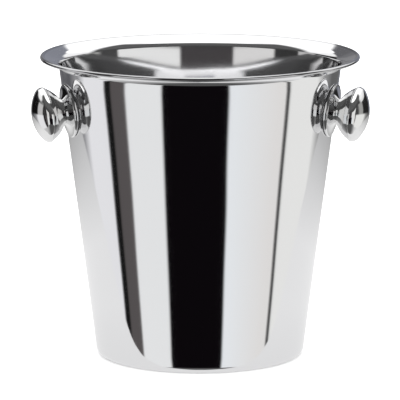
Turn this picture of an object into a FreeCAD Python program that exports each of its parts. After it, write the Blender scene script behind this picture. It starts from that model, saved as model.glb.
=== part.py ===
import FreeCAD, Part
import math
import os
import Sketcher

# Ice bucket with two knob handles, in millimetres, +Z up. The origin is the centre of the ring that
# the bucket stands on, at table height. The front is -Y. One stainless sheet is drawn into the bucket:
# recessed base, conical wall, flared lip and rolled rim. Each knob is a hollow head of two pressed
# shells around a threaded insert, and a screw from inside the bucket clamps it over a rosette.

SIZES = [
    ("height", 199.4, "table to the top of the rolled rim"),
    ("base_diameter", 136.5, "outside of the wall, continued down to the table"),
    ("mouth_diameter", 187.2, "outside of the wall, continued up to the top of the rim"),
    ("lip_width", 11.4, "from the mouth diameter out to the edge of the rim, along the radius"),
    ("lip_slope", 19, "degrees by which the lip falls inwards"),
    ("lip_bend_radius", 5, "outside radius of the bend between wall and lip"),
    ("curl_radius", 1.25, "outside radius of the rolled rim"),
    ("curl_sweep", 280, "degrees that the rolled rim turns through"),
    ("sheet", 0.7, "thickness of the bucket's sheet"),
    ("base_corner_radius", 4.8, "outside radius of the bend between base and wall"),
    ("base_panel_diameter", 112, "flat panel in the middle of the base"),
    ("base_recess", 2, "height of that panel above the table"),
    ("base_ramp_width", 4, "from the panel out to the standing ring, along the radius"),
    ("knob_height", 166.2, "height of the knobs' axes where they meet the wall"),
    ("knob_forward_angle", 16.6, "degrees by which each knob stands in front of the diameter"),
    ("knob_projection", 24.6, "from the wall to the top of the head"),
    ("head_diameter", 36.3, "largest diameter of the head"),
    ("head_crown_radius", 27.5, "radius of the middle of the dome"),
    ("head_edge_radius", 4.5, "radius of the dome's edge"),
    ("seam_drop", 0.7, "from the head's largest diameter back to its seam"),
    ("seam_chamfer", 0.25, "depth of the step at the seam"),
    ("shell_wall", 0.9, "thickness of the head's shells"),
    ("neck_diameter", 16.3, "narrow end of the head"),
    ("waist_diameter", 22.9, "where the neck's hollow curve meets the head's full curve"),
    ("waist_rise", 2.8, "from the neck's end to that place"),
    ("waist_slope", 53, "degrees between the surface and the axis there"),
    ("neck_curve_radius", 30, "radius of the hollow curve"),
    ("back_curve_radius", 25, "radius of the full curve"),
    ("rosette_diameter", 35, "outside diameter of the rosette"),
    ("rosette_height", 4.2, "from the wall to the rosette's narrow end"),
    ("rosette_edge", 0.9, "height of the rosette's edge above the gasket, where it is least"),
    ("rosette_edge_round", 0.6, "width of the round at that edge"),
    ("rosette_curve_radius", 15, "radius of the rosette's hollow curve"),
    ("rosette_wall", 0.9, "thickness of the rosette"),
    ("gasket_thickness", 0.5, "gasket between the rosette's rim and the wall"),
    ("gasket_width", 1.5, "width of that gasket along the radius"),
    ("gasket_inset", 0.2, "from the rosette's edge in to the gasket"),
    ("seal_diameter", 15, "rubber washer inside the bucket"),
    ("seal_thickness", 1, "thickness of that washer"),
    ("saddle_diameter", 16, "steel washer that fits the curve of the wall"),
    ("saddle_thickness", 1.4, "thickness of that washer at its middle"),
    ("spring_diameter", 9.2, "split spring washer"),
    ("spring_thickness", 1.2, "thickness of that washer"),
    ("spring_split", 1, "width of its split"),
    ("screw_diameter", 5, "shank of the pan-head screw"),
    ("screw_reach", 8, "length of the shank inside the insert"),
    ("screw_head_diameter", 9.5, "head of the screw"),
    ("screw_head_height", 3.2, "height of that head"),
    ("screw_head_round", 2, "radius of the round on that head"),
    ("drive_width", 1.2, "width of each arm of the cross recess"),
    ("drive_length", 5, "length of each arm of the cross recess"),
    ("drive_depth", 1.8, "depth of the cross recess"),
    ("screw_clearance", 0.25, "gap around the shank in every hole that it passes through"),
    ("thread_clearance", 0.05, "gap between the shank and the insert's bore"),
    ("insert_diameter", 10.5, "body of the threaded insert"),
    ("insert_length", 11.5, "length of the threaded insert"),
    ("insert_collar_diameter", 13, "collar of the insert, inside the neck"),
    ("insert_collar_height", 1.5, "height of that collar"),
    ("insert_bore_depth", 9.5, "depth of the insert's blind bore"),
]

document = FreeCAD.newDocument("IceBucket")
sheet = document.addObject("Spreadsheet::Sheet", "Sizes")
for row, (alias, number, note) in enumerate(SIZES, start=1):
    sheet.set(f"A{row}", alias)
    sheet.set(f"B{row}", str(number))
    sheet.setAlias(f"B{row}", alias)
    sheet.set(f"C{row}", note)
document.recompute()

# Distances that several pieces share, as expressions over the sheet. "Out" is along a knob's axis,
# away from the wall's outside surface.
WALL_TILT = "atan((Sizes.mouth_diameter - Sizes.base_diameter) / (2 * Sizes.height))"
RIM_RADIUS = "(Sizes.mouth_diameter / 2 + Sizes.lip_width)"
SLANTED_SHEET = f"(Sizes.sheet / cos({WALL_TILT}))"
KNOB_WALL_RADIUS = f"(Sizes.base_diameter / 2 + Sizes.knob_height * tan({WALL_TILT}))"
SCREW_HOLE_RADIUS = "(Sizes.screw_diameter / 2 + Sizes.screw_clearance)"
NECK_RADIUS = "(Sizes.neck_diameter / 2)"
NECK_OUT = "Sizes.rosette_height"
HEAD_RADIUS = "(Sizes.head_diameter / 2)"
SEAL_OUT = "(-Sizes.sheet)"
SADDLE_OUT = "(-Sizes.sheet - Sizes.seal_thickness)"
SPRING_OUT = f"({SADDLE_OUT} - Sizes.saddle_thickness)"
SCREW_OUT = f"({SPRING_OUT} - Sizes.spring_thickness)"
BLANK_MARGIN = 1.0
EDGE_TOLERANCE = 0.01

subparts = []


def value(expression):
    """Return an expression over the sheet as a plain number."""
    result = sheet.evalExpression(expression)
    return float(getattr(result, "Value", result))


def arc_centre(start, end, radius, turn, large):
    """Return the centre of the arc that leaves start and turns left (+1) or right (-1) to end."""
    chord = end - start
    middle = (start + end) * 0.5
    rise = math.sqrt(max(radius**2 - (chord.Length / 2) ** 2, 0.0))
    across = FreeCAD.Vector(-chord.y, chord.x, 0).normalize()
    side = -turn if large else turn
    return middle + across * rise * side


def outline_edge(start, end, arc):
    """Return one line or arc of an outline, and the point positions of its start and end."""
    if arc is None:
        return Part.LineSegment(start, end), 1, 2
    radius_expression, turn, large = arc
    radius = value(radius_expression)
    centre = arc_centre(start, end, radius, turn, large)
    first, last = (start, end) if turn > 0 else (end, start)
    first_angle = math.atan2(first.y - centre.y, first.x - centre.x)
    last_angle = math.atan2(last.y - centre.y, last.x - centre.x)
    circle = Part.Circle(centre, FreeCAD.Vector(0, 0, 1), radius)
    edge = Part.ArcOfCircle(circle, first_angle, last_angle)
    return (edge, 1, 2) if turn > 0 else (edge, 2, 1)


def bind(feature, **expressions):
    """Bind properties of a feature to expressions over the sheet."""
    for name, expression in expressions.items():
        feature.setExpression(name, expression)
    return feature


def turned_body(name, outline, placement=None):
    """Return a body turned about its own Z axis from a closed outline of (radius, height) corners.

    A corner may add (radius, turn, large), which makes the edge that arrives there an arc.
    """
    body = document.addObject("PartDesign::Body", name)
    sketch = body.newObject("Sketcher::SketchObject", f"{name}_outline")
    plane = next(item for item in body.Origin.OriginFeatures if item.Role == "XZ_Plane")
    sketch.AttachmentSupport = [(plane, "")]
    sketch.MapMode = "FlatFace"
    corners = [FreeCAD.Vector(value(corner[0]), value(corner[1]), 0) for corner in outline]
    ends = []
    for index, corner in enumerate(outline):
        arc = corner[2] if len(corner) > 2 else None
        edge, start, end = outline_edge(corners[index - 1], corners[index], arc)
        sketch.addGeometry(edge)
        ends.append((start, end))
    for index, corner in enumerate(outline):
        following = (index + 1) % len(outline)
        end = ends[index][1]
        sketch.addConstraint(Sketcher.Constraint("Coincident", index, end, following, ends[following][0]))
        for kind, expression, distance in (
            ("DistanceX", corner[0], corners[index].x),
            ("DistanceY", corner[1], corners[index].y),
        ):
            number = sketch.addConstraint(Sketcher.Constraint(kind, -1, 1, index, end, distance))
            sketch.setExpression(f"Constraints[{number}]", expression)
        if len(corner) > 2:
            radius = value(corner[2][0])
            number = sketch.addConstraint(Sketcher.Constraint("Radius", index, radius))
            sketch.setExpression(f"Constraints[{number}]", corner[2][0])
    turn = body.newObject("PartDesign::Revolution", f"{name}_turn")
    turn.Profile = sketch
    turn.ReferenceAxis = (sketch, ["V_Axis"])
    turn.Angle = 360
    if placement:
        body.setExpression("Placement", placement)
    document.recompute()
    return body


def boolean(kind, name, base, tool):
    """Return a Part::Cut or Part::Common of two objects."""
    feature = document.addObject(f"Part::{kind}", name)
    feature.Base = base
    feature.Tool = tool
    document.recompute()
    return feature


def fuse(name, shapes):
    """Return the union of several objects."""
    feature = document.addObject("Part::MultiFuse", name)
    feature.Shapes = shapes
    return feature


def finish(feature, label):
    """Give a finished sub-part the label that names its file."""
    feature.Label = label
    subparts.append(feature)


def round_edges(body, name, radius_expression, circles):
    """Fillet the circular edges of a body that lie at the given (radius, height) places."""
    base = body.Tip
    chosen = []
    for number, edge in enumerate(base.Shape.Edges, start=1):
        for radius, height in circles:
            is_circle = isinstance(edge.Curve, Part.Circle)
            if (
                is_circle
                and abs(edge.Curve.Radius - value(radius)) < EDGE_TOLERANCE
                and abs(edge.Curve.Center.z - value(height)) < EDGE_TOLERANCE
            ):
                chosen.append(f"Edge{number}")
    if len(chosen) != len(circles):
        raise RuntimeError(f"{name}: found {len(chosen)} of {len(circles)} edges")
    fillet = body.newObject("PartDesign::Fillet", name)
    fillet.Base = (base, chosen)
    fillet.setExpression("Radius", radius_expression)
    body.Tip = fillet
    document.recompute()
    return fillet


def wall_cone(name, offset):
    """Return the solid cone of the wall's outside surface, moved out by an offset."""
    cone = document.addObject("Part::Cone", name)
    return bind(
        cone,
        Radius1=f"Sizes.base_diameter / 2 + ({offset}) / cos({WALL_TILT})",
        Radius2=f"Sizes.mouth_diameter / 2 + ({offset}) / cos({WALL_TILT})",
        Height="Sizes.height",
    )


def bucket_body():
    """Return the drawn bucket: base, wall, lip and rolled rim, before its screw holes."""
    lip = "Sizes.lip_slope"
    curl_centre_radius = f"({RIM_RADIUS} - Sizes.curl_radius)"
    curl_centre_height = "(Sizes.height - Sizes.curl_radius)"
    curl_inside = "(Sizes.curl_radius - Sizes.sheet)"
    steepness = f"(cos({lip}) - sin({lip}) * tan({WALL_TILT}))"

    def lip_corner(wall_radius_at_table, above_curl_centre):
        """Return where a face of the wall would meet the same face of the lip without a bend."""
        height = (
            f"(({above_curl_centre} + sin({lip}) * ({wall_radius_at_table} - {curl_centre_radius})"
            f" + cos({lip}) * {curl_centre_height}) / {steepness})"
        )
        return f"({wall_radius_at_table} + {height} * tan({WALL_TILT}))", height

    def curl_point(radius, angle):
        """Return a point of the rolled rim, at an angle from its outermost point."""
        return (
            f"{curl_centre_radius} + {radius} * cos({angle})",
            f"{curl_centre_height} + {radius} * sin({angle})",
        )

    outside = "(Sizes.base_diameter / 2)"
    inside = f"(Sizes.base_diameter / 2 - {SLANTED_SHEET})"
    outside_corner = lip_corner(outside, curl_inside)
    inside_corner = lip_corner(inside, "Sizes.curl_radius")
    curl_start = f"(90 + {lip})"
    curl_end = f"(90 + {lip} - Sizes.curl_sweep)"
    panel = "(Sizes.base_panel_diameter / 2)"
    ring = f"({panel} + Sizes.base_ramp_width)"
    ramp_shift = "(Sizes.sheet * tan(atan(Sizes.base_recess / Sizes.base_ramp_width) / 2))"
    inner_base_corner = (f"{inside} + Sizes.sheet * tan({WALL_TILT})", "Sizes.sheet")

    body = turned_body(
        "bucket_drawing",
        [
            ("0", "Sizes.base_recess"),
            (panel, "Sizes.base_recess"),
            (ring, "0"),
            (outside, "0"),
            outside_corner,
            curl_point(curl_inside, curl_start),
            (*curl_point(curl_inside, curl_end), (curl_inside, -1, True)),
            curl_point("Sizes.curl_radius", curl_end),
            (*curl_point("Sizes.curl_radius", curl_start), ("Sizes.curl_radius", 1, True)),
            inside_corner,
            inner_base_corner,
            (f"{ring} + {ramp_shift}", "Sizes.sheet"),
            (f"{panel} + {ramp_shift}", "Sizes.base_recess + Sizes.sheet"),
            ("0", "Sizes.base_recess + Sizes.sheet"),
        ],
    )
    round_edges(body, "base_corner_outside", "Sizes.base_corner_radius", [(outside, "0")])
    round_edges(
        body,
        "base_corner_inside",
        "Sizes.base_corner_radius - Sizes.sheet",
        [inner_base_corner],
    )
    round_edges(body, "lip_bend_outside", "Sizes.lip_bend_radius", [outside_corner])
    round_edges(
        body, "lip_bend_inside", "Sizes.lip_bend_radius + Sizes.sheet", [inside_corner]
    )
    return body


def knob_frame(azimuth):
    """Return the placement whose Z axis leaves the wall squarely at a knob, and whose X points down."""
    return (
        f"placement(vector(0; 0; Sizes.knob_height); rotation(vector(0; 0; 1); {azimuth}))"
        f" * placement(vector({KNOB_WALL_RADIUS}; 0; 0); rotation(vector(0; 1; 0); 90 + {WALL_TILT} / 1 deg))"
    )


def ring_body(name, inner_radius, outer_radius, low, high, placement):
    """Return a plain ring about a knob's axis."""
    corners = [
        (inner_radius, low),
        (outer_radius, low),
        (outer_radius, high),
        (inner_radius, high),
    ]
    return turned_body(name, corners, placement)


def screw_hole(name, placement):
    """Return the cylinder that a screw's hole takes out of the wall."""
    hole = document.addObject("Part::Cylinder", name)
    reach = "(Sizes.sheet * 4)"
    return bind(
        hole,
        Radius=SCREW_HOLE_RADIUS,
        Height=f"2 * {reach}",
        Placement=f"{placement} * placement(vector(0; 0; -{reach}); rotation(vector(0; 0; 1); 0))",
    )


def head_cap(side, placement):
    """Make the domed front shell of a knob's head."""
    name = f"{side}_knob_cap"
    edge_centre = f"({HEAD_RADIUS} - Sizes.head_edge_radius)"
    span = "(Sizes.head_crown_radius - Sizes.head_edge_radius)"
    lean = f"asin({edge_centre} / {span})"
    crown_centre = "(Sizes.knob_projection - Sizes.head_crown_radius)"
    equator = f"({crown_centre} + {span} * cos({lean}))"

    def dome(inset):
        """Return where the crown meets the dome's edge, and where that edge meets the seam."""
        crown = f"(Sizes.head_crown_radius - {inset})"
        edge = f"(Sizes.head_edge_radius - {inset})"
        meeting = (f"{crown} * sin({lean})", f"{crown_centre} + {crown} * cos({lean})")
        seam_radius = f"{edge_centre} + sqrt({edge} ^ 2 - Sizes.seam_drop ^ 2)"
        return crown, edge, meeting, (seam_radius, f"{equator} - Sizes.seam_drop")

    outer_crown, outer_edge, outer_meeting, outer_seam = dome("0")
    inner_crown, inner_edge, inner_meeting, inner_seam = dome("Sizes.shell_wall")
    body = turned_body(
        name,
        [
            ("0", "Sizes.knob_projection - Sizes.shell_wall"),
            (*inner_meeting, (inner_crown, -1, False)),
            (*inner_seam, (inner_edge, -1, False)),
            outer_seam,
            (*outer_meeting, (outer_edge, 1, False)),
            ("0", "Sizes.knob_projection", (outer_crown, 1, False)),
        ],
        placement,
    )
    finish(body, name)
    return outer_seam


def head_back(side, placement, seam):
    """Make the trumpet-shaped back shell, from the neck to the head's seam."""
    name = f"{side}_knob_back"
    seam_radius, seam_out = seam
    wall = "Sizes.shell_wall"
    waist = ("(Sizes.waist_diameter / 2)", f"({NECK_OUT} + Sizes.waist_rise)")
    inner_waist = (
        f"{waist[0]} - {wall} * cos(Sizes.waist_slope)",
        f"{waist[1]} + {wall} * sin(Sizes.waist_slope)",
    )
    rim = f"({seam_radius} - Sizes.seam_chamfer)"
    body = turned_body(
        name,
        [
            ("Sizes.insert_diameter / 2", NECK_OUT),
            (NECK_RADIUS, NECK_OUT),
            (*waist, ("Sizes.neck_curve_radius", -1, False)),
            (rim, seam_out, ("Sizes.back_curve_radius", 1, False)),
            (f"{rim} - {wall}", seam_out),
            (*inner_waist, (f"Sizes.back_curve_radius - {wall}", -1, False)),
            (
                f"{NECK_RADIUS} - {wall} * cos(Sizes.waist_slope / 2)",
                f"{NECK_OUT} + {wall}",
                (f"Sizes.neck_curve_radius + {wall}", 1, False),
            ),
            ("Sizes.insert_diameter / 2", f"{NECK_OUT} + {wall}"),
        ],
        placement,
    )
    finish(body, name)


def threaded_insert(side, placement):
    """Make the brass insert that is brazed into the neck and takes the screw."""
    name = f"{side}_knob_insert"
    body_radius = "Sizes.insert_diameter / 2"
    collar_radius = "Sizes.insert_collar_diameter / 2"
    bore = "Sizes.screw_diameter / 2 + Sizes.thread_clearance"
    collar_low = f"{NECK_OUT} + Sizes.shell_wall"
    collar_high = f"{collar_low} + Sizes.insert_collar_height"
    far_end = f"{NECK_OUT} + Sizes.insert_length"
    bore_end = f"{NECK_OUT} + Sizes.insert_bore_depth"
    body = turned_body(
        name,
        [
            (bore, NECK_OUT),
            (body_radius, NECK_OUT),
            (body_radius, collar_low),
            (collar_radius, collar_low),
            (collar_radius, collar_high),
            (body_radius, collar_high),
            (body_radius, far_end),
            ("0", far_end),
            ("0", bore_end),
            (bore, bore_end),
        ],
        placement,
    )
    finish(body, name)


def depth_behind(radius):
    """Return how far a blank of that radius, across the wall's curve, must reach to pass the wall."""
    return f"({KNOB_WALL_RADIUS} - sqrt({KNOB_WALL_RADIUS} ^ 2 - {radius} ^ 2) + {BLANK_MARGIN})"


def rosette(side, placement, gasket_surface):
    """Make the flared rosette, whose rim is cut to the curve of the wall."""
    name = f"{side}_rosette"
    wall = "Sizes.rosette_wall"
    radius = "(Sizes.rosette_diameter / 2)"
    edge_round = "Sizes.rosette_edge_round"
    edge_top = "(Sizes.gasket_thickness + Sizes.rosette_edge)"
    blank = turned_body(
        f"{name}_blank",
        [
            (f"{radius} - {wall}", f"-{depth_behind(radius)}"),
            (radius, f"-{depth_behind(radius)}"),
            (radius, f"{edge_top} - {edge_round}"),
            (f"{radius} - {edge_round}", edge_top, (edge_round, 1, False)),
            (NECK_RADIUS, NECK_OUT, ("Sizes.rosette_curve_radius", -1, False)),
            (SCREW_HOLE_RADIUS, NECK_OUT),
            (SCREW_HOLE_RADIUS, f"{NECK_OUT} - {wall}"),
            (f"{NECK_RADIUS} - {wall} / 2", f"{NECK_OUT} - {wall}"),
            (
                f"{radius} - {wall} - {edge_round}",
                f"{edge_top} - {wall}",
                (f"Sizes.rosette_curve_radius + {wall}", 1, False),
            ),
            (f"{radius} - {wall}", f"{edge_top} - {wall}"),
        ],
        placement,
    )
    finish(boolean("Cut", name, blank, gasket_surface), name)


def rosette_gasket(side, placement, wall_surface, gasket_surface):
    """Make the thin gasket between the rosette's rim and the wall, curved as both are."""
    name = f"{side}_rosette_gasket"
    outer = "(Sizes.rosette_diameter / 2 - Sizes.gasket_inset)"
    inner = f"({outer} - Sizes.gasket_width)"
    low = f"-{depth_behind(outer)}"
    high = f"Sizes.gasket_thickness + {BLANK_MARGIN}"
    blank = ring_body(f"{name}_blank", inner, outer, low, high, placement)
    under_rim = boolean("Common", f"{name}_under_rim", blank, gasket_surface)
    finish(boolean("Cut", name, under_rim, wall_surface), name)


def inner_washers(side, placement, inside_surface, seal_surface):
    """Make the rubber seal against the wall and the saddle-faced steel washer that presses on it."""
    seal_name = f"{side}_seal_washer"
    seal_blank = ring_body(
        f"{seal_name}_blank",
        SCREW_HOLE_RADIUS,
        "Sizes.seal_diameter / 2",
        f"{SADDLE_OUT} - {BLANK_MARGIN}",
        f"{SEAL_OUT} + {BLANK_MARGIN}",
        placement,
    )
    against_wall = boolean("Common", f"{seal_name}_against_wall", seal_blank, inside_surface)
    finish(boolean("Cut", seal_name, against_wall, seal_surface), seal_name)

    saddle_name = f"{side}_saddle_washer"
    saddle_blank = ring_body(
        f"{saddle_name}_blank",
        SCREW_HOLE_RADIUS,
        "Sizes.saddle_diameter / 2",
        SPRING_OUT,
        f"{SADDLE_OUT} + {BLANK_MARGIN}",
        placement,
    )
    finish(boolean("Common", saddle_name, saddle_blank, seal_surface), saddle_name)


def spring_washer(side, placement):
    """Make the split spring washer under the screw's head."""
    name = f"{side}_spring_washer"
    blank = ring_body(
        f"{name}_blank",
        SCREW_HOLE_RADIUS,
        "Sizes.spring_diameter / 2",
        SCREW_OUT,
        SPRING_OUT,
        placement,
    )
    split = document.addObject("Part::Box", f"{name}_split")
    offset = f"vector(0; -Sizes.spring_split / 2; {SCREW_OUT} - {BLANK_MARGIN})"
    bind(
        split,
        Length="Sizes.spring_diameter",
        Width="Sizes.spring_split",
        Height=f"Sizes.spring_thickness + 2 * {BLANK_MARGIN}",
        Placement=f"{placement} * placement({offset}; rotation(vector(0; 0; 1); 0))",
    )
    finish(boolean("Cut", name, blank, split), name)


def screw(side, placement):
    """Make the pan-head screw with its cross recess."""
    name = f"{side}_screw"
    shank = "Sizes.screw_diameter / 2"
    head = "(Sizes.screw_head_diameter / 2)"
    head_round = "Sizes.screw_head_round"
    head_top = f"({SCREW_OUT} - Sizes.screw_head_height)"
    body = turned_body(
        f"{name}_blank",
        [
            ("0", head_top),
            (f"{head} - {head_round}", head_top),
            (head, f"{head_top} + {head_round}", (head_round, 1, False)),
            (head, SCREW_OUT),
            (shank, SCREW_OUT),
            (shank, f"{NECK_OUT} + Sizes.screw_reach"),
            ("0", f"{NECK_OUT} + Sizes.screw_reach"),
        ],
        placement,
    )
    arms = []
    for arm, (length, width) in enumerate(
        [("Sizes.drive_length", "Sizes.drive_width"), ("Sizes.drive_width", "Sizes.drive_length")]
    ):
        box = document.addObject("Part::Box", f"{name}_drive_{arm}")
        corner = f"vector(-{length} / 2; -{width} / 2; {head_top} - {BLANK_MARGIN})"
        bind(
            box,
            Length=length,
            Width=width,
            Height=f"Sizes.drive_depth + {BLANK_MARGIN}",
            Placement=f"{placement} * placement({corner}; rotation(vector(0; 0; 1); 0))",
        )
        arms.append(box)
    recess = fuse(f"{name}_recess", arms)
    finish(boolean("Cut", name, body, recess), name)


def knob(side, placement, surfaces):
    """Make every piece of one knob handle."""
    seam = head_cap(side, placement)
    head_back(side, placement, seam)
    threaded_insert(side, placement)
    rosette(side, placement, surfaces["gasket_outside"])
    rosette_gasket(side, placement, surfaces["wall_outside"], surfaces["gasket_outside"])
    inner_washers(side, placement, surfaces["wall_inside"], surfaces["seal_inside"])
    spring_washer(side, placement)
    screw(side, placement)


surfaces = {
    "gasket_outside": wall_cone("gasket_outside", "Sizes.gasket_thickness"),
    "wall_outside": wall_cone("wall_outside", "0"),
    "wall_inside": wall_cone("wall_inside", SEAL_OUT),
    "seal_inside": wall_cone("seal_inside", SADDLE_OUT),
}
knob_sides = {
    "left": knob_frame("180 + Sizes.knob_forward_angle"),
    "right": knob_frame("-Sizes.knob_forward_angle"),
}

holes = fuse("screw_holes", [screw_hole(f"{side}_hole", frame) for side, frame in knob_sides.items()])
finish(boolean("Cut", "bucket_shell", bucket_body(), holes), "bucket_shell")
for side, frame in knob_sides.items():
    knob(side, frame, surfaces)
document.recompute()

for item in document.Objects:
    if "Invalid" in item.State or "Error" in item.State:
        raise RuntimeError(f"{item.Name} failed: {item.State}")
for item in subparts:
    if item.Shape.isNull() or not item.Shape.isValid() or len(item.Shape.Solids) != 1:
        raise RuntimeError(f"{item.Label} is not one valid solid")

os.makedirs("parts", exist_ok=True)
for item in subparts:
    item.Shape.exportStep(os.path.join("parts", f"{item.Label}.step"))
    print(f"{item.Label}: {item.Shape.Volume:.1f} mm3")
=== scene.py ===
import math

import bmesh
import bpy
from mathutils import Matrix, Vector


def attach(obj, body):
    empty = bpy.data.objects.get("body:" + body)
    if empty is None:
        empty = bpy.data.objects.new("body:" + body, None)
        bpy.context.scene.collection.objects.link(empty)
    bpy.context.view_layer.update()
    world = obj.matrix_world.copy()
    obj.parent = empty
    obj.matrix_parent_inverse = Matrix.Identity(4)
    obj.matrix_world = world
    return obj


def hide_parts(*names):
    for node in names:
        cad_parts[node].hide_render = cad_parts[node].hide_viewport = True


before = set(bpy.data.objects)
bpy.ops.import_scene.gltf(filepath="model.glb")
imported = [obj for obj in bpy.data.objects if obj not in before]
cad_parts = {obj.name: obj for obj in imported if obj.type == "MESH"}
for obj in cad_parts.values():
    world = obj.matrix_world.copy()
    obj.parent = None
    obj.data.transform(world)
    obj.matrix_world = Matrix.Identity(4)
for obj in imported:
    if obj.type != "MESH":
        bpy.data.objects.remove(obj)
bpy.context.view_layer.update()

# ---------------------------------------------------------------------------------------------
# Bucket. One round of stainless sheet, drawn into a cone with a recessed base. Its mouth is
# flared into a sloping lip, whose edge is rolled outwards and down into a bead. It is polished
# to a mirror inside and out. The screw holes are covered on both sides, so the skin has none.
# ---------------------------------------------------------------------------------------------
SHEET = 0.0007
BUCKET_HEIGHT = 0.1994
BASE_RADIUS = 0.06825
MOUTH_RADIUS = 0.0936
LIP_WIDTH = 0.0114
LIP_SLOPE = math.radians(19)
LIP_BEND_RADIUS = 0.0057
BASE_BEND_RADIUS = 0.0041
PANEL_BEND_RADIUS = 0.0012
PANEL_RADIUS = 0.056
PANEL_RISE = 0.002
RAMP_WIDTH = 0.004
BEAD_RADIUS = 0.00125
BEAD_TURN = math.radians(280)
BEAD_STEPS = 28
LIP_BEND_SEGMENTS = 14
BASE_BEND_SEGMENTS = 10
FINE_BEND_SEGMENTS = 3
BUCKET_SEGMENTS = 288
WALL_ROWS = 32
WALL_TILT = math.atan((MOUTH_RADIUS - BASE_RADIUS) / BUCKET_HEIGHT)
DOUBLES = 1e-6


def wall_radius(height):
    """The radius of the wall's outside surface at a height above the table."""
    return BASE_RADIUS + height * math.tan(WALL_TILT)


def crossing(point, direction, other, other_direction):
    """Where two lines of an outline cross."""
    run = (other - point).cross(other_direction) / direction.cross(other_direction)
    return point + direction * run


def open_wire(mesh, corners):
    """Lay out an open outline in the XZ plane, X outwards from the axis, and return its vertices."""
    wire = [mesh.verts.new((corner.x, 0, corner.y)) for corner in corners]
    for first, second in zip(wire, wire[1:]):
        mesh.edges.new((first, second))
    return wire


def bend_corner(mesh, corner, radius, segments):
    """Round one corner of an outline to a bend radius."""
    before, after = [edge.other_vert(corner).co - corner.co for edge in corner.link_edges]
    turn = math.pi - before.angle(after)
    bmesh.ops.bevel(
        mesh,
        geom=[corner],
        offset=radius * math.tan(turn / 2),
        offset_type="OFFSET",
        affect="VERTICES",
        segments=segments,
        profile=0.5,
        material=-1,
    )


def turn_about_axis(mesh, segments):
    """Turn an outline once round the Z axis into a closed skin."""
    bmesh.ops.spin(
        mesh,
        geom=mesh.verts[:] + mesh.edges[:],
        cent=(0, 0, 0),
        axis=(0, 0, 1),
        angle=math.tau,
        steps=segments,
        use_merge=True,
    )
    bmesh.ops.remove_doubles(mesh, verts=mesh.verts, dist=DOUBLES)
    bmesh.ops.recalc_face_normals(mesh, faces=mesh.faces)


def make_piece(mesh, name, material, node):
    """Turn a mesh into a finished piece with smooth faces, in place of its CAD node."""
    for face in mesh.faces:
        face.smooth = True
    data = bpy.data.meshes.new(name)
    mesh.to_mesh(data)
    mesh.free()
    data.materials.append(material)
    piece = bpy.data.objects.new(name, data)
    bpy.context.scene.collection.objects.link(piece)
    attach(piece, "root")
    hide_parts(node)
    return piece


def add_node(tree, kind, **settings):
    """Add a shader node and set its properties."""
    node = tree.nodes.new(kind)
    for name, setting in settings.items():
        setattr(node, name, setting)
    return node


def new_finish(name, metallic):
    """Start a material, and return it with its node tree and shader."""
    material = bpy.data.materials.new(name)
    material.use_nodes = True
    shader = material.node_tree.nodes["Principled BSDF"]
    shader.inputs["Metallic"].default_value = metallic
    return material, material.node_tree, shader


def mottled(tree, pattern, dark, light):
    """A colour that drifts between two tones by a pattern."""
    blend = add_node(tree, "ShaderNodeMixRGB")
    blend.inputs["Color1"].default_value = (*dark, 1.0)
    blend.inputs["Color2"].default_value = (*light, 1.0)
    tree.links.new(pattern, blend.inputs["Fac"])
    return blend.outputs["Color"]


def noise_on_object(tree, scale, detail, stretch=(1, 1, 1)):
    """A noise pattern fixed to the piece, finer along a direction where stretch is above 1."""
    spot = add_node(tree, "ShaderNodeTexCoord")
    mapping = add_node(tree, "ShaderNodeMapping")
    mapping.inputs["Scale"].default_value = stretch
    tree.links.new(spot.outputs["Object"], mapping.inputs["Vector"])
    noise = add_node(tree, "ShaderNodeTexNoise")
    noise.inputs["Scale"].default_value = scale
    noise.inputs["Detail"].default_value = detail
    tree.links.new(mapping.outputs["Vector"], noise.inputs["Vector"])
    return noise.outputs["Fac"]


def remapped(tree, value, low, high):
    """Spread a pattern that runs from 0 to 1 between two values."""
    spread = add_node(tree, "ShaderNodeMapRange")
    spread.inputs["To Min"].default_value = low
    spread.inputs["To Max"].default_value = high
    tree.links.new(value, spread.inputs["Value"])
    return spread.outputs["Result"]


def bumped(tree, height, strength, distance, base=None):
    """Bump a surface by a height pattern, on top of another bump if one is given."""
    bump = add_node(tree, "ShaderNodeBump")
    bump.inputs["Strength"].default_value = strength
    bump.inputs["Distance"].default_value = distance
    tree.links.new(height, bump.inputs["Height"])
    if base:
        tree.links.new(base, bump.inputs["Normal"])
    return bump.outputs["Normal"]


POLISH_TONE_DROP = 0.97
POLISH_ROUGHNESS = (0.03, 0.09)
POLISH_LINE_STRETCH = (0.4, 0.4, 40)
POLISH_LINE_DEPTH = 0.00002
WAVE_STRETCH = (1, 1, 0.6)


def polished_steel(name, colour, wave_size, wave_depth):
    """Stainless steel with a mirror polish, fine polishing lines round it and soft waves.

    Returns the material and the node that makes the waves.
    """
    material, tree, shader = new_finish(name, metallic=1.0)
    lines = noise_on_object(tree, scale=60, detail=3, stretch=POLISH_LINE_STRETCH)
    haze = noise_on_object(tree, scale=9, detail=2)
    waves = noise_on_object(tree, scale=1 / wave_size, detail=1, stretch=WAVE_STRETCH)
    drop = [POLISH_TONE_DROP * part for part in colour]
    tree.links.new(mottled(tree, haze, drop, colour), shader.inputs["Base Color"])
    tree.links.new(remapped(tree, lines, *POLISH_ROUGHNESS), shader.inputs["Roughness"])
    waved = bumped(tree, waves, strength=1.0, distance=wave_depth)
    lined = bumped(tree, lines, strength=0.05, distance=POLISH_LINE_DEPTH, base=waved)
    tree.links.new(lined, shader.inputs["Normal"])
    return material, waved.node


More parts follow.
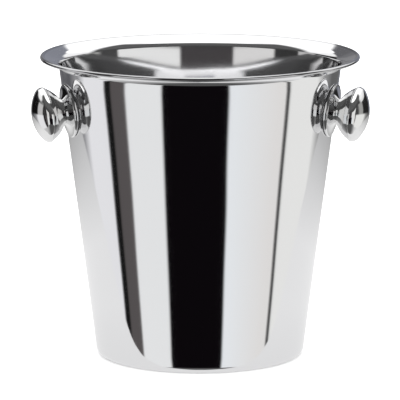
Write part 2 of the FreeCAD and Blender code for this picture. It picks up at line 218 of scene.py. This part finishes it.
def by_radius(tree, start, end, near, far):
    """A value that changes from near to far between two distances from the bucket's axis."""
    spot = add_node(tree, "ShaderNodeTexCoord")
    level = add_node(tree, "ShaderNodeMapping", vector_type="VECTOR")
    level.inputs["Scale"].default_value = (1, 1, 0)
    tree.links.new(spot.outputs["Object"], level.inputs["Vector"])
    radius = add_node(tree, "ShaderNodeVectorMath", operation="LENGTH")
    tree.links.new(level.outputs["Vector"], radius.inputs[0])
    change = add_node(tree, "ShaderNodeMapRange")
    settings = {"From Min": start, "From Max": end, "To Min": near, "To Max": far}
    for name, setting in settings.items():
        change.inputs[name].default_value = setting
    tree.links.new(radius.outputs["Value"], change.inputs["Value"])
    return change.outputs["Result"]


# The wall is a little wavy from drawing, and the lip is spun true. The bead, and the last strip of
# the lip beside it, are given painted shade: a greyer tone in the colour that stands in for the dark
# reflections along the rolled rim, so that the rim stands out from a white background.
BUCKET_COLOUR = (0.80, 0.80, 0.81)
BEAD_PAINTED_SHADE_COLOUR = (0.52, 0.52, 0.53)
WALL_WAVE_SIZE = 0.06
WALL_WAVE_DEPTH = 0.0003
WAVES_END_RADIUS = 0.0935
WAVES_FADE = 0.003
WAVES_LEFT = 0.1
PAINTED_SHADE_STRIP = 0.0009
PAINTED_SHADE_FADE = 0.0006
bucket_steel, wall_waves = polished_steel(
    "mirror_polished_bucket_steel", BUCKET_COLOUR, WALL_WAVE_SIZE, WALL_WAVE_DEPTH
)
tree = bucket_steel.node_tree
calm = by_radius(tree, WAVES_END_RADIUS - WAVES_FADE, WAVES_END_RADIUS, 1.0, WAVES_LEFT)
tree.links.new(calm, wall_waves.inputs["Strength"])
# Painted shade: a greyer strip over the bead and the lip beside it, in place of the rim's dark
# reflections.
painted_shade_start = MOUTH_RADIUS + LIP_WIDTH - 2 * BEAD_RADIUS - PAINTED_SHADE_STRIP
colour = tree.nodes["Principled BSDF"].inputs["Base Color"]
blend = add_node(tree, "ShaderNodeMixRGB")
blend.inputs["Color2"].default_value = (*BEAD_PAINTED_SHADE_COLOUR, 1.0)
painted_shade_mask = by_radius(tree, painted_shade_start, painted_shade_start + PAINTED_SHADE_FADE, 0.0, 1.0)
tree.links.new(painted_shade_mask, blend.inputs["Fac"])
tree.links.new(colour.links[0].from_socket, blend.inputs["Color1"])
tree.links.new(blend.outputs["Color"], colour)

inner_base_radius = BASE_RADIUS - SHEET / math.cos(WALL_TILT)
up_the_wall = Vector((math.sin(WALL_TILT), math.cos(WALL_TILT)))
out_along_lip = Vector((math.cos(LIP_SLOPE), math.sin(LIP_SLOPE)))
bead_centre = Vector((MOUTH_RADIUS + LIP_WIDTH - BEAD_RADIUS, BUCKET_HEIGHT - BEAD_RADIUS))
lip_end = bead_centre + BEAD_RADIUS * Vector((-math.sin(LIP_SLOPE), math.cos(LIP_SLOPE)))
lip_corner = crossing(Vector((inner_base_radius, 0)), up_the_wall, lip_end, out_along_lip)
ring_corner = crossing(Vector((inner_base_radius, 0)), up_the_wall, Vector((0, SHEET)), Vector((1, 0)))

mesh = bmesh.new()
wire = open_wire(
    mesh,
    [
        Vector((0, PANEL_RISE + SHEET)),
        Vector((PANEL_RADIUS, PANEL_RISE + SHEET)),
        Vector((PANEL_RADIUS + RAMP_WIDTH, SHEET)),
        ring_corner,
        lip_corner,
        lip_end,
    ],
)
panel_corner, ramp_corner, base_corner, mouth_corner = wire[1:5]
bmesh.ops.spin(
    mesh,
    geom=[wire[-1]],
    cent=(bead_centre.x, 0, bead_centre.y),
    axis=(0, 1, 0),
    angle=BEAD_TURN,
    steps=BEAD_STEPS,
)
bend_corner(mesh, panel_corner, PANEL_BEND_RADIUS, FINE_BEND_SEGMENTS)
bend_corner(mesh, ramp_corner, PANEL_BEND_RADIUS, FINE_BEND_SEGMENTS)
bend_corner(mesh, base_corner, BASE_BEND_RADIUS, BASE_BEND_SEGMENTS)
bend_corner(mesh, mouth_corner, LIP_BEND_RADIUS, LIP_BEND_SEGMENTS)
wall_line = max(mesh.edges, key=lambda edge: abs(edge.verts[0].co.z - edge.verts[1].co.z))
bmesh.ops.subdivide_edges(mesh, edges=[wall_line], cuts=WALL_ROWS - 1)
turn_about_axis(mesh, BUCKET_SEGMENTS)
bucket = make_piece(mesh, "drawn_bucket", bucket_steel, "bucket_shell")
sheet = bucket.modifiers.new("sheet", "SOLIDIFY")
sheet.thickness = SHEET
sheet.offset = -1.0
sheet.use_even_offset = True

# ---------------------------------------------------------------------------------------------
# Rosette gaskets and seal washers. Each knob is bedded on a thin black rubber gasket outside the
# wall, and sealed by a black rubber washer inside it. The outer gasket is a dark ring put where the
# rosette's rim meets the wall, as painted shade standing in for the shadow in that gap. Both are
# moulded and left as they come from the mould, with a matt, slightly dusty face.
# ---------------------------------------------------------------------------------------------
KNOB_FORWARD = math.radians(16.6)
KNOB_BEARINGS = {"left": math.pi + KNOB_FORWARD, "right": -KNOB_FORWARD}
RUBBER_DARK = (0.018, 0.018, 0.019)
RUBBER_DUSTY = (0.034, 0.034, 0.036)
RUBBER_ROUGHNESS = (0.55, 0.80)
RUBBER_GRAIN_DEPTH = 0.00005


def moulded_rubber(name):
    """Matt black rubber with a fine grain and a dusty tone in places."""
    material, tree, shader = new_finish(name, metallic=0.0)
    dust = noise_on_object(tree, scale=180, detail=4)
    grain = noise_on_object(tree, scale=2600, detail=2)
    tree.links.new(mottled(tree, dust, RUBBER_DARK, RUBBER_DUSTY), shader.inputs["Base Color"])
    tree.links.new(remapped(tree, dust, *RUBBER_ROUGHNESS), shader.inputs["Roughness"])
    grained = bumped(tree, grain, strength=0.4, distance=RUBBER_GRAIN_DEPTH)
    tree.links.new(grained, shader.inputs["Normal"])
    return material


def finish_node(name, material):
    """Give a CAD part its finish."""
    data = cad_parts[name].data
    data.materials.clear()
    data.materials.append(material)


rubber = moulded_rubber("moulded_black_rubber")
for side in KNOB_BEARINGS:
    # Painted shade: the outer gasket's black stands in for the shadowed gap between the rosette's rim
    # and the wall.
    finish_node(f"{side}_rosette_gasket", rubber)
    finish_node(f"{side}_seal_washer", rubber)

# ---------------------------------------------------------------------------------------------
# Rosettes. Each is a hollow flare pressed from stainless sheet and polished, out of the knob's neck
# to a rim that is cut to the curve of the wall. The screw clamps it between the head and the gasket.
# ---------------------------------------------------------------------------------------------
KNOB_HEIGHT = 0.1662
KNOB_SEGMENTS = 128
ARC_STEPS = 18
SHELL_WALL = 0.0009
NECK_RADIUS = 0.00815
NECK_OUT = 0.0042
NECK_ROUND = 0.0005
ROSETTE_RADIUS = 0.0175
ROSETTE_EDGE_OUT = 0.0014
ROSETTE_EDGE_ROUND = 0.0006
ROSETTE_CURVE_RADIUS = 0.015
GASKET = 0.0005
SCREW_HOLE_RADIUS = 0.00275
KNOB_STEEL_COLOUR = (0.80, 0.80, 0.80)
KNOB_WAVE_SIZE = 0.02
KNOB_WAVE_DEPTH = 0.00001


def knob_place(bearing):
    """The place of a knob: Z out of the wall along its axis, X down the wall."""
    return (
        Matrix.Rotation(bearing, 4, "Z")
        @ Matrix.Translation((wall_radius(KNOB_HEIGHT), 0, KNOB_HEIGHT))
        @ Matrix.Rotation(math.pi / 2 + WALL_TILT, 4, "Y")
    )


def arc_to(mesh, last, end, radius):
    """Carry an outline on by an arc that turns right for a radius above zero, or left."""
    chord = end - last.co
    rise = math.sqrt(radius**2 - (chord.length / 2) ** 2)
    to_the_right = Vector((chord.z, 0, -chord.x)).normalized()
    centre = (last.co + end) / 2 + to_the_right * math.copysign(rise, radius)
    spun = bmesh.ops.spin(
        mesh,
        geom=[last],
        cent=centre,
        axis=(0, 1, 0),
        angle=2 * math.asin(chord.length / 2 / radius),
        steps=ARC_STEPS,
    )
    return next(part for part in spun["geom_last"] if isinstance(part, bmesh.types.BMVert))


def trace(mesh, outline):
    """Draw an outline of (x, z) for a straight run or (x, z, radius) for an arc."""
    vertices = [mesh.verts.new((outline[0][0], 0, outline[0][1]))]
    for x, z, *radius in outline[1:]:
        if radius:
            vertices.append(arc_to(mesh, vertices[-1], Vector((x, 0, z)), radius[0]))
        else:
            vertices.append(mesh.verts.new((x, 0, z)))
            mesh.edges.new(vertices[-2:])
    return vertices


def on_gasket(x, y):
    """How far out the gasket's face is, at a place down and across the wall from a knob's axis."""
    curve = (wall_radius(KNOB_HEIGHT) - x * math.sin(WALL_TILT)) / math.cos(WALL_TILT)
    return GASKET - curve + math.sqrt(curve**2 - y**2)


def flared_rosette(place):
    """The rosette: a hollow flare out of the neck, with a rim that follows the wall."""
    below = -GASKET
    mesh = bmesh.new()
    corners = trace(
        mesh,
        [
            (SCREW_HOLE_RADIUS, NECK_OUT - SHELL_WALL),
            (SCREW_HOLE_RADIUS, NECK_OUT),
            (NECK_RADIUS, NECK_OUT),
            (ROSETTE_RADIUS - ROSETTE_EDGE_ROUND, ROSETTE_EDGE_OUT, -ROSETTE_CURVE_RADIUS),
            (ROSETTE_RADIUS, ROSETTE_EDGE_OUT - ROSETTE_EDGE_ROUND, ROSETTE_EDGE_ROUND),
            (ROSETTE_RADIUS, below),
            (ROSETTE_RADIUS - SHELL_WALL, below),
            (ROSETTE_RADIUS - SHELL_WALL, ROSETTE_EDGE_OUT - SHELL_WALL),
            (ROSETTE_RADIUS - SHELL_WALL - ROSETTE_EDGE_ROUND, ROSETTE_EDGE_OUT - SHELL_WALL),
            (NECK_RADIUS - SHELL_WALL / 2, NECK_OUT - SHELL_WALL, ROSETTE_CURVE_RADIUS + SHELL_WALL),
        ],
    )
    mesh.edges.new((corners[-1], corners[0]))
    bend_corner(mesh, corners[2], NECK_ROUND, FINE_BEND_SEGMENTS)
    turn_about_axis(mesh, KNOB_SEGMENTS)
    for vertex in mesh.verts:
        if vertex.co.z < below / 2:
            vertex.co.z = on_gasket(vertex.co.x, vertex.co.y)
    mesh.transform(place)
    return mesh


knob_steel, _ = polished_steel(
    "mirror_polished_knob_steel", KNOB_STEEL_COLOUR, KNOB_WAVE_SIZE, KNOB_WAVE_DEPTH
)
for side, bearing in KNOB_BEARINGS.items():
    rosette = flared_rosette(knob_place(bearing))
    make_piece(rosette, f"{side}_flared_rosette", knob_steel, f"{side}_rosette")

# ---------------------------------------------------------------------------------------------
# Knob heads. Each is hollow: a domed cap and a trumpet-shaped back, pressed from stainless sheet,
# joined at a fine seam and polished together. A turned brass insert inside holds the screw's thread.
# ---------------------------------------------------------------------------------------------
HEAD_RADIUS = 0.01815
HEAD_TOP = 0.0246
CROWN_RADIUS = 0.0275
HEAD_EDGE_RADIUS = 0.0045
SEAM_DROP = 0.0007
SEAM_STEP = 0.00025
SEAM_ROUND = 0.0003
NECK_CURVE_RADIUS = 0.030
WAIST_RADIUS = 0.01145
WAIST_OUT = 0.0070
WAIST_SLOPE = math.radians(53)
BACK_CURVE_RADIUS = 0.025
INSERT_RADIUS = 0.00525


def domed_cap(place):
    """The front shell of the head: a shallow crown that rolls over into the head's edge."""
    edge_centre = HEAD_RADIUS - HEAD_EDGE_RADIUS
    span = CROWN_RADIUS - HEAD_EDGE_RADIUS
    lean = math.asin(edge_centre / span)
    crown_centre = HEAD_TOP - CROWN_RADIUS
    seam_out = crown_centre + span * math.cos(lean) - SEAM_DROP

    def dome(inset):
        """The crown's and edge's radii, where they meet, and the seam's radius, that far inside."""
        crown = CROWN_RADIUS - inset
        edge = HEAD_EDGE_RADIUS - inset
        meeting = (crown * math.sin(lean), crown_centre + crown * math.cos(lean))
        return crown, edge, meeting, edge_centre + math.sqrt(edge**2 - SEAM_DROP**2)

    crown, edge, meeting, seam_radius = dome(0)
    inner_crown, inner_edge, inner_meeting, inner_seam_radius = dome(SHELL_WALL)
    mesh = bmesh.new()
    corners = trace(
        mesh,
        [
            (0, HEAD_TOP),
            (*meeting, crown),
            (seam_radius, seam_out, edge),
            (inner_seam_radius, seam_out),
            (*inner_meeting, -inner_edge),
            (0, HEAD_TOP - SHELL_WALL, -inner_crown),
        ],
    )
    bend_corner(mesh, corners[2], SEAM_ROUND, FINE_BEND_SEGMENTS)
    turn_about_axis(mesh, KNOB_SEGMENTS)
    mesh.transform(place)
    return mesh, seam_radius, seam_out


def trumpet_back(place, seam_radius, seam_out):
    """The back shell of the head: a hollow curve out of the neck, then a full curve to the seam."""
    rim = seam_radius - SEAM_STEP
    mesh = bmesh.new()
    corners = trace(
        mesh,
        [
            (INSERT_RADIUS, NECK_OUT),
            (NECK_RADIUS, NECK_OUT),
            (WAIST_RADIUS, WAIST_OUT, NECK_CURVE_RADIUS),
            (rim, seam_out, -BACK_CURVE_RADIUS),
            (rim - SHELL_WALL, seam_out),
            (
                WAIST_RADIUS - SHELL_WALL * math.cos(WAIST_SLOPE),
                WAIST_OUT + SHELL_WALL * math.sin(WAIST_SLOPE),
                BACK_CURVE_RADIUS - SHELL_WALL,
            ),
            (
                NECK_RADIUS - SHELL_WALL * math.cos(WAIST_SLOPE / 2),
                NECK_OUT + SHELL_WALL,
                -NECK_CURVE_RADIUS - SHELL_WALL,
            ),
            (INSERT_RADIUS, NECK_OUT + SHELL_WALL),
        ],
    )
    mesh.edges.new((corners[-1], corners[0]))
    bend_corner(mesh, corners[1], NECK_ROUND, FINE_BEND_SEGMENTS)
    bend_corner(mesh, corners[3], SEAM_ROUND, FINE_BEND_SEGMENTS)
    turn_about_axis(mesh, KNOB_SEGMENTS)
    mesh.transform(place)
    return mesh


for side, bearing in KNOB_BEARINGS.items():
    place = knob_place(bearing)
    cap, seam_radius, seam_out = domed_cap(place)
    back = trumpet_back(place, seam_radius, seam_out)
    make_piece(cap, f"{side}_domed_cap", knob_steel, f"{side}_knob_cap")
    make_piece(back, f"{side}_trumpet_back", knob_steel, f"{side}_knob_back")

TOOL_LINE_STRETCH = (1, 1, 6)
TOOL_LINE_DEPTH = 0.00003
BRASS_DARK = (0.62, 0.43, 0.19)
BRASS_LIGHT = (0.80, 0.60, 0.30)
BRASS_ROUGHNESS = (0.18, 0.34)


def turned_metal(name, dark, light, roughness):
    """Metal as it comes off the lathe or the press: soft tool lines and an uneven satin tone."""
    material, tree, shader = new_finish(name, metallic=1.0)
    tool_lines = noise_on_object(tree, scale=700, detail=3, stretch=TOOL_LINE_STRETCH)
    tone = noise_on_object(tree, scale=90, detail=3)
    tree.links.new(mottled(tree, tone, dark, light), shader.inputs["Base Color"])
    tree.links.new(remapped(tree, tool_lines, *roughness), shader.inputs["Roughness"])
    lined = bumped(tree, tool_lines, strength=0.3, distance=TOOL_LINE_DEPTH)
    tree.links.new(lined, shader.inputs["Normal"])
    return material


brass = turned_metal("turned_brass", BRASS_DARK, BRASS_LIGHT, BRASS_ROUGHNESS)
for side in KNOB_BEARINGS:
    finish_node(f"{side}_knob_insert", brass)

# ---------------------------------------------------------------------------------------------
# Screws and washers. Inside the bucket a saddle washer spreads the load on the rubber seal, a split
# spring washer locks the joint, and a pan-head screw with a cross recess draws the knob up to the
# wall. All are plain stainless steel with a satin finish.
# ---------------------------------------------------------------------------------------------
SCREW_STEEL_DARK = (0.50, 0.50, 0.50)
SCREW_STEEL_LIGHT = (0.66, 0.65, 0.64)
SCREW_STEEL_ROUGHNESS = (0.20, 0.38)
plain_steel = turned_metal(
    "satin_screw_steel", SCREW_STEEL_DARK, SCREW_STEEL_LIGHT, SCREW_STEEL_ROUGHNESS
)
for side in KNOB_BEARINGS:
    finish_node(f"{side}_saddle_washer", plain_steel)
    finish_node(f"{side}_spring_washer", plain_steel)
    finish_node(f"{side}_screw", plain_steel)

# ---------------------------------------------------------------------------------------------
# Floor. A plain pale matt surface under and around the bucket. It stays out of the polished steel,
# which reflects the lit table top instead.
# ---------------------------------------------------------------------------------------------
FLOOR_SIZE = 6.0
FLOOR_COLOUR = (0.9, 0.9, 0.9)
FLOOR_ROUGHNESS = 0.9


def stage_piece(mesh, name, material):
    """Turn a mesh into a part of the studio, with one material."""
    data = bpy.data.meshes.new(name)
    mesh.to_mesh(data)
    mesh.free()
    data.materials.append(material)
    piece = bpy.data.objects.new(name, data)
    bpy.context.scene.collection.objects.link(piece)
    return piece


mesh = bmesh.new()
bmesh.ops.create_grid(mesh, x_segments=1, y_segments=1, size=FLOOR_SIZE / 2)
floor_paint = bpy.data.materials.new("pale_floor")
floor_paint.use_nodes = True
shader = floor_paint.node_tree.nodes["Principled BSDF"]
shader.inputs["Base Color"].default_value = (*FLOOR_COLOUR, 1.0)
shader.inputs["Roughness"].default_value = FLOOR_ROUGHNESS
shader.inputs["Specular IOR Level"].default_value = 0.0
floor = stage_piece(mesh, "pale_floor", floor_paint)
floor.visible_glossy = False

# ---------------------------------------------------------------------------------------------
# Lit table top. The round white table that the bucket stands on, seen only in the polished steel.
# It ends just in front of the bucket, and is lit less and less towards its far edge.
# ---------------------------------------------------------------------------------------------
TABLE_RADIUS = 0.56
TABLE_BEHIND = 0.49
TABLE_DROP = 0.0002
TABLE_SEGMENTS = 96
TABLE_REACH = 1.1
TABLE_LIGHT = [
    (0.05, 0.88),
    (0.16, 0.95),
    (0.30, 0.95),
    (0.45, 0.78),
    (0.60, 0.58),
    (0.80, 0.40),
    (1.05, 0.18),
]


def colour_ramp(tree, value, stops):
    """Colour by a value from 0 to 1, from a list of (value, colour)."""
    ramp = add_node(tree, "ShaderNodeValToRGB")
    elements = ramp.color_ramp.elements
    while len(elements) < len(stops):
        elements.new(0.5)
    for element, (position, colour) in zip(elements, stops):
        element.position = position
        element.color = (*colour, 1.0)
    tree.links.new(value, ramp.inputs["Fac"])
    return ramp.outputs["Color"]


def calculation(tree, operation, first, second=None):
    """Add a math node on one or two values, each a socket or a number."""
    node = add_node(tree, "ShaderNodeMath", operation=operation)
    for socket, value in zip(node.inputs, (first, second)):
        if isinstance(value, bpy.types.NodeSocket):
            tree.links.new(value, socket)
        elif value is not None:
            socket.default_value = value
    return node.outputs[0]


mesh = bmesh.new()
bmesh.ops.create_circle(mesh, cap_ends=True, radius=TABLE_RADIUS, segments=TABLE_SEGMENTS)
bmesh.ops.translate(mesh, verts=mesh.verts, vec=(0, TABLE_BEHIND, -TABLE_DROP))
table_light = bpy.data.materials.new("lit_table_top")
table_light.use_nodes = True
tree = table_light.node_tree
tree.nodes.clear()
spot = add_node(tree, "ShaderNodeTexCoord")
distance = add_node(tree, "ShaderNodeVectorMath", operation="LENGTH")
tree.links.new(spot.outputs["Object"], distance.inputs[0])
share = calculation(tree, "DIVIDE", distance.outputs["Value"], TABLE_REACH)
stops = [(far / TABLE_REACH, (light, light, light)) for far, light in TABLE_LIGHT]
glow = add_node(tree, "ShaderNodeEmission")
tree.links.new(colour_ramp(tree, share, stops), glow.inputs["Color"])
surface = add_node(tree, "ShaderNodeOutputMaterial")
tree.links.new(glow.outputs["Emission"], surface.inputs["Surface"])
table = stage_piece(mesh, "lit_table_top", table_light)
table.visible_camera = False
table.visible_diffuse = False
table.visible_shadow = False

# ---------------------------------------------------------------------------------------------
# Studio. Open white light falls on everything. The polished steel reflects the studio itself: a dark
# room with white panels and softboxes in rings round the bucket, from the ground to overhead.
# ---------------------------------------------------------------------------------------------
# A panel is (bearing where it starts, softness of that edge, colour), and runs to the next one. A
# bearing is 0 towards the camera and + to its right. A ring is (height above the horizon where it
# starts, softness of that edge, panels). All are in degrees.
GROUND = [
    (-180, 0, (0.60, 0.60, 0.62)),
    (-143, 37, (0.66, 0.66, 0.66)),
    (-90, 15, (0.42, 0.42, 0.42)),
    (-66, 8, (0.28, 0.28, 0.28)),
    (-49, 8, (0.10, 0.10, 0.10)),
    (47, 13, (0.24, 0.24, 0.24)),
    (70, 10, (0.45, 0.45, 0.45)),
    (93, 12, (0.90, 0.90, 0.90)),
]
LOW_PANELS = [
    (-180, 0, (0.12, 0.12, 0.13)),
    (-133, 6, (0.32, 0.32, 0.33)),
    (-118, 5, (0.94, 0.94, 0.96)),
    (-89, 1, (0.01, 0.01, 0.01)),
    (-82, 1, (0.11, 0.10, 0.10)),
    (-67, 1, (0.95, 0.96, 0.96)),
    (-33.5, 1, (0.004, 0.003, 0.004)),
    (24, 1, (0.95, 0.98, 1.00)),
    (50, 20, (0.90, 0.88, 0.86)),
    (77, 1, (0.05, 0.05, 0.05)),
    (81, 1, (0.96, 0.96, 0.94)),
    (120, 6, (0.32, 0.32, 0.32)),
    (134, 6, (0.14, 0.14, 0.14)),
]
SIDE_ROOM = [
    (-180, 0, (0.25, 0.25, 0.26)),
    (-154, 2, (0.006, 0.006, 0.006)),
    (-112, 2, (0.60, 0.59, 0.59)),
    (-91, 1, (0.04, 0.04, 0.04)),
    (-66, 1, (0.82, 0.81, 0.80)),
    (-29, 1, (0.065, 0.06, 0.062)),
    (16, 1, (0.94, 0.94, 0.93)),
    (72, 1, (0.07, 0.07, 0.07)),
    (92, 3, (0.40, 0.40, 0.39)),
    (110, 2, (0.02, 0.02, 0.02)),
    (149, 3, (0.26, 0.27, 0.31)),
]
UPPER_ROOM = [
    (-180, 0, (0.18, 0.18, 0.19)),
    (-153, 3, (0.03, 0.03, 0.03)),
    (-110, 2, (0.24, 0.24, 0.24)),
    (-91, 3, (0.06, 0.06, 0.06)),
    (104, 4, (0.90, 0.90, 0.90)),
    (150, 4, (0.25, 0.26, 0.30)),
]
SIDE_SOFTBOXES = [
    (-180, 0, (0.14, 0.14, 0.15)),
    (-155, 3, (1.10, 1.10, 1.10)),
    (-103, 4, (0.08, 0.08, 0.08)),
    (103, 5, (1.10, 1.10, 1.10)),
    (155, 3, (0.25, 0.26, 0.30)),
]
BACK_SOFTBOX = [
    (-180, 0, (1.40, 1.40, 1.40)),
    (-106, 6, (0.12, 0.12, 0.12)),
    (106, 6, (1.40, 1.40, 1.40)),
]
OVERHEAD = [
    (-180, 0, (1.40, 1.40, 1.40)),
    (-70, 10, (2.10, 2.10, 2.10)),
    (70, 10, (1.40, 1.40, 1.40)),
]
RINGS = [
    (-34, 1.5, LOW_PANELS),
    (-10, 1.5, SIDE_ROOM),
    (9, 1.0, UPPER_ROOM),
    (13, 1.5, SIDE_SOFTBOXES),
    (23, 1.0, BACK_SOFTBOX),
    (57, 4.0, OVERHEAD),
]
OPEN_LIGHT = 2.0


def panel_stops(panels):
    """The colour stops of a ring's panels, as shares of a full turn from straight behind."""
    starts = [(-180, 0)] + [panel[:2] for panel in panels[1:]]
    ends = [panel[:2] for panel in panels[1:]] + [(180, 0)]
    stops = []
    for (start, soft), (end, next_soft), (_, _, colour) in zip(starts, ends, panels):
        stops.append(((start + soft + 180) / 360, colour))
        stops.append(((end - next_soft + 180) / 360, colour))
    return stops


world = bpy.data.worlds.new("studio")
bpy.context.scene.world = world
world.use_nodes = True
tree = world.node_tree
tree.nodes.clear()
towards = add_node(tree, "ShaderNodeTexCoord")
axes = add_node(tree, "ShaderNodeSeparateXYZ")
tree.links.new(towards.outputs["Generated"], axes.inputs["Vector"])
to_camera = calculation(tree, "MULTIPLY", axes.outputs["Y"], -1.0)
bearing = calculation(tree, "ARCTAN2", axes.outputs["X"], to_camera)
around = calculation(tree, "ADD", calculation(tree, "DIVIDE", bearing, math.tau), 0.5)
climb = calculation(tree, "MULTIPLY", calculation(tree, "ARCSINE", axes.outputs["Z"]), math.degrees(1))

seen = colour_ramp(tree, around, panel_stops(GROUND))
for start, softness, panels in RINGS:
    above = add_node(tree, "ShaderNodeMapRange", interpolation_type="SMOOTHSTEP")
    above.inputs["From Min"].default_value = start - softness
    above.inputs["From Max"].default_value = start + softness
    tree.links.new(climb, above.inputs["Value"])
    blend = add_node(tree, "ShaderNodeMixRGB")
    tree.links.new(above.outputs["Result"], blend.inputs["Fac"])
    tree.links.new(seen, blend.inputs["Color1"])
    tree.links.new(colour_ramp(tree, around, panel_stops(panels)), blend.inputs["Color2"])
    seen = blend.outputs["Color"]

reflected = add_node(tree, "ShaderNodeBackground")
tree.links.new(seen, reflected.inputs["Color"])
open_light = add_node(tree, "ShaderNodeBackground")
open_light.inputs["Color"].default_value = (1, 1, 1, 1)
open_light.inputs["Strength"].default_value = OPEN_LIGHT
path = add_node(tree, "ShaderNodeLightPath")
either = add_node(tree, "ShaderNodeMixShader")
output = add_node(tree, "ShaderNodeOutputWorld")
tree.links.new(path.outputs["Is Glossy Ray"], either.inputs["Fac"])
tree.links.new(open_light.outputs["Background"], either.inputs[1])
tree.links.new(reflected.outputs["Background"], either.inputs[2])
tree.links.new(either.outputs["Shader"], output.inputs["Surface"])

bpy.context.scene.view_settings.view_transform = "Standard"

# ---------------------------------------------------------------------------------------------
# Camera. A long lens in front of the bucket and above it, looking slightly down at the middle of
# the bucket.
# ---------------------------------------------------------------------------------------------
CAMERA_DISTANCE = 2.477
CAMERA_ELEVATION = math.radians(10.34)
CAMERA_SWING = math.radians(0.8)
CAMERA_LENS = 337.2
CAMERA_SENSOR = 36
PIVOT = Vector((0, 0, 0.100))
AIM = Vector((0, 0, 0.1023))
camera_data = bpy.data.cameras.new("camera")
camera_data.lens = CAMERA_LENS
camera_data.sensor_width = CAMERA_SENSOR
camera = bpy.data.objects.new("camera", camera_data)
flat = math.cos(CAMERA_ELEVATION)
camera.location = PIVOT + CAMERA_DISTANCE * Vector(
    (-flat * math.sin(CAMERA_SWING), -flat * math.cos(CAMERA_SWING), math.sin(CAMERA_ELEVATION))
)
camera.rotation_euler = (AIM - camera.location).to_track_quat("-Z", "Y").to_euler()
bpy.context.scene.collection.objects.link(camera)
bpy.context.scene.camera = camera
